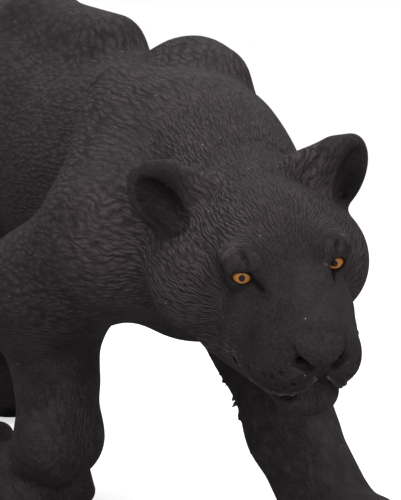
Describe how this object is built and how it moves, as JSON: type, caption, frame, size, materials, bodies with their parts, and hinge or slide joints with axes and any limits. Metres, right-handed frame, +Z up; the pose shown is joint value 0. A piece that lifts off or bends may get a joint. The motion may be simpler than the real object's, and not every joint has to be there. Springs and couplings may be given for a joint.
{
  "type": "tv lamp",
  "caption": "Figural television lamp: a stalking black panther, cast hollow, with a lamp behind an opening in its wall side.",
  "frame": {"origin": "middle of the figure's length and width, on the table", "axes": "+X toward the nose, +Y toward the wall behind the lamp, +Z up"},
  "size_m": [0.5148, 0.1327, 0.2046],
  "materials": {
    "black_resin": "matt charcoal black, cold-cast resin",
    "zinc_steel": "bright zinc plate",
    "eye_glass": "clear amber glass",
    "amber_iris": "amber lacquer with a dark pupil",
    "felt": "black felt",
    "brass": "plain brass",
    "bakelite": "dark brown phenolic",
    "bulb_glass": "clear",
    "nickel_brass": "nickelled brass, bright",
    "black_glass": "black vitreous insulator",
    "tin": "tinned",
    "tungsten": "dark drawn wire",
    "black_plastic": "moulded black"
  },
  "bodies": {
    "figure": {"trunk_casting": "black_resin", "head_casting": "black_resin", "right_foreleg": "black_resin", "left_foreleg": "black_resin", "right_hindleg": "black_resin", "left_hindleg": "black_resin", "tail_casting": "black_resin", "leg_dowels": "zinc_steel", "neck_dowels": "zinc_steel", "tail_dowel": "zinc_steel", "right_eye_glass": "eye_glass", "left_eye_glass": "eye_glass", "iris_discs": "amber_iris", "paw_felts": "felt", "threaded_inserts": "brass", "bracket": "zinc_steel", "bracket_screws": "zinc_steel", "threaded_pipe": "brass", "pipe_washer": "zinc_steel", "pipe_nut": "brass", "holder_cap": "bakelite", "holder_body": "bakelite", "screw_shell": "brass", "centre_contact": "brass", "terminal_screws": "brass", "inlet_bushing": "black_plastic", "inlet_nut": "black_plastic"},
    "key": {"key_shaft": "zinc_steel", "key_knob": "bakelite"},
    "bulb": {"bulb_glass": "bulb_glass", "bulb_cap": "nickel_brass", "bulb_insulator": "black_glass", "bulb_contact": "tin", "bulb_stem": "bulb_glass", "bulb_filament": "tungsten"}
  },
  "joints": [
    {"name": "key_turn", "type": "hinge", "parent": "figure", "child": "key", "pos_m": [-0.00733, 0, 0.139], "axis": [0, 1, 0], "continuous": true},
    {"name": "bulb_out", "type": "slide", "parent": "figure", "child": "bulb", "axis": [1, 0, 0], "range_m": [0, 0.028]}
  ]
}
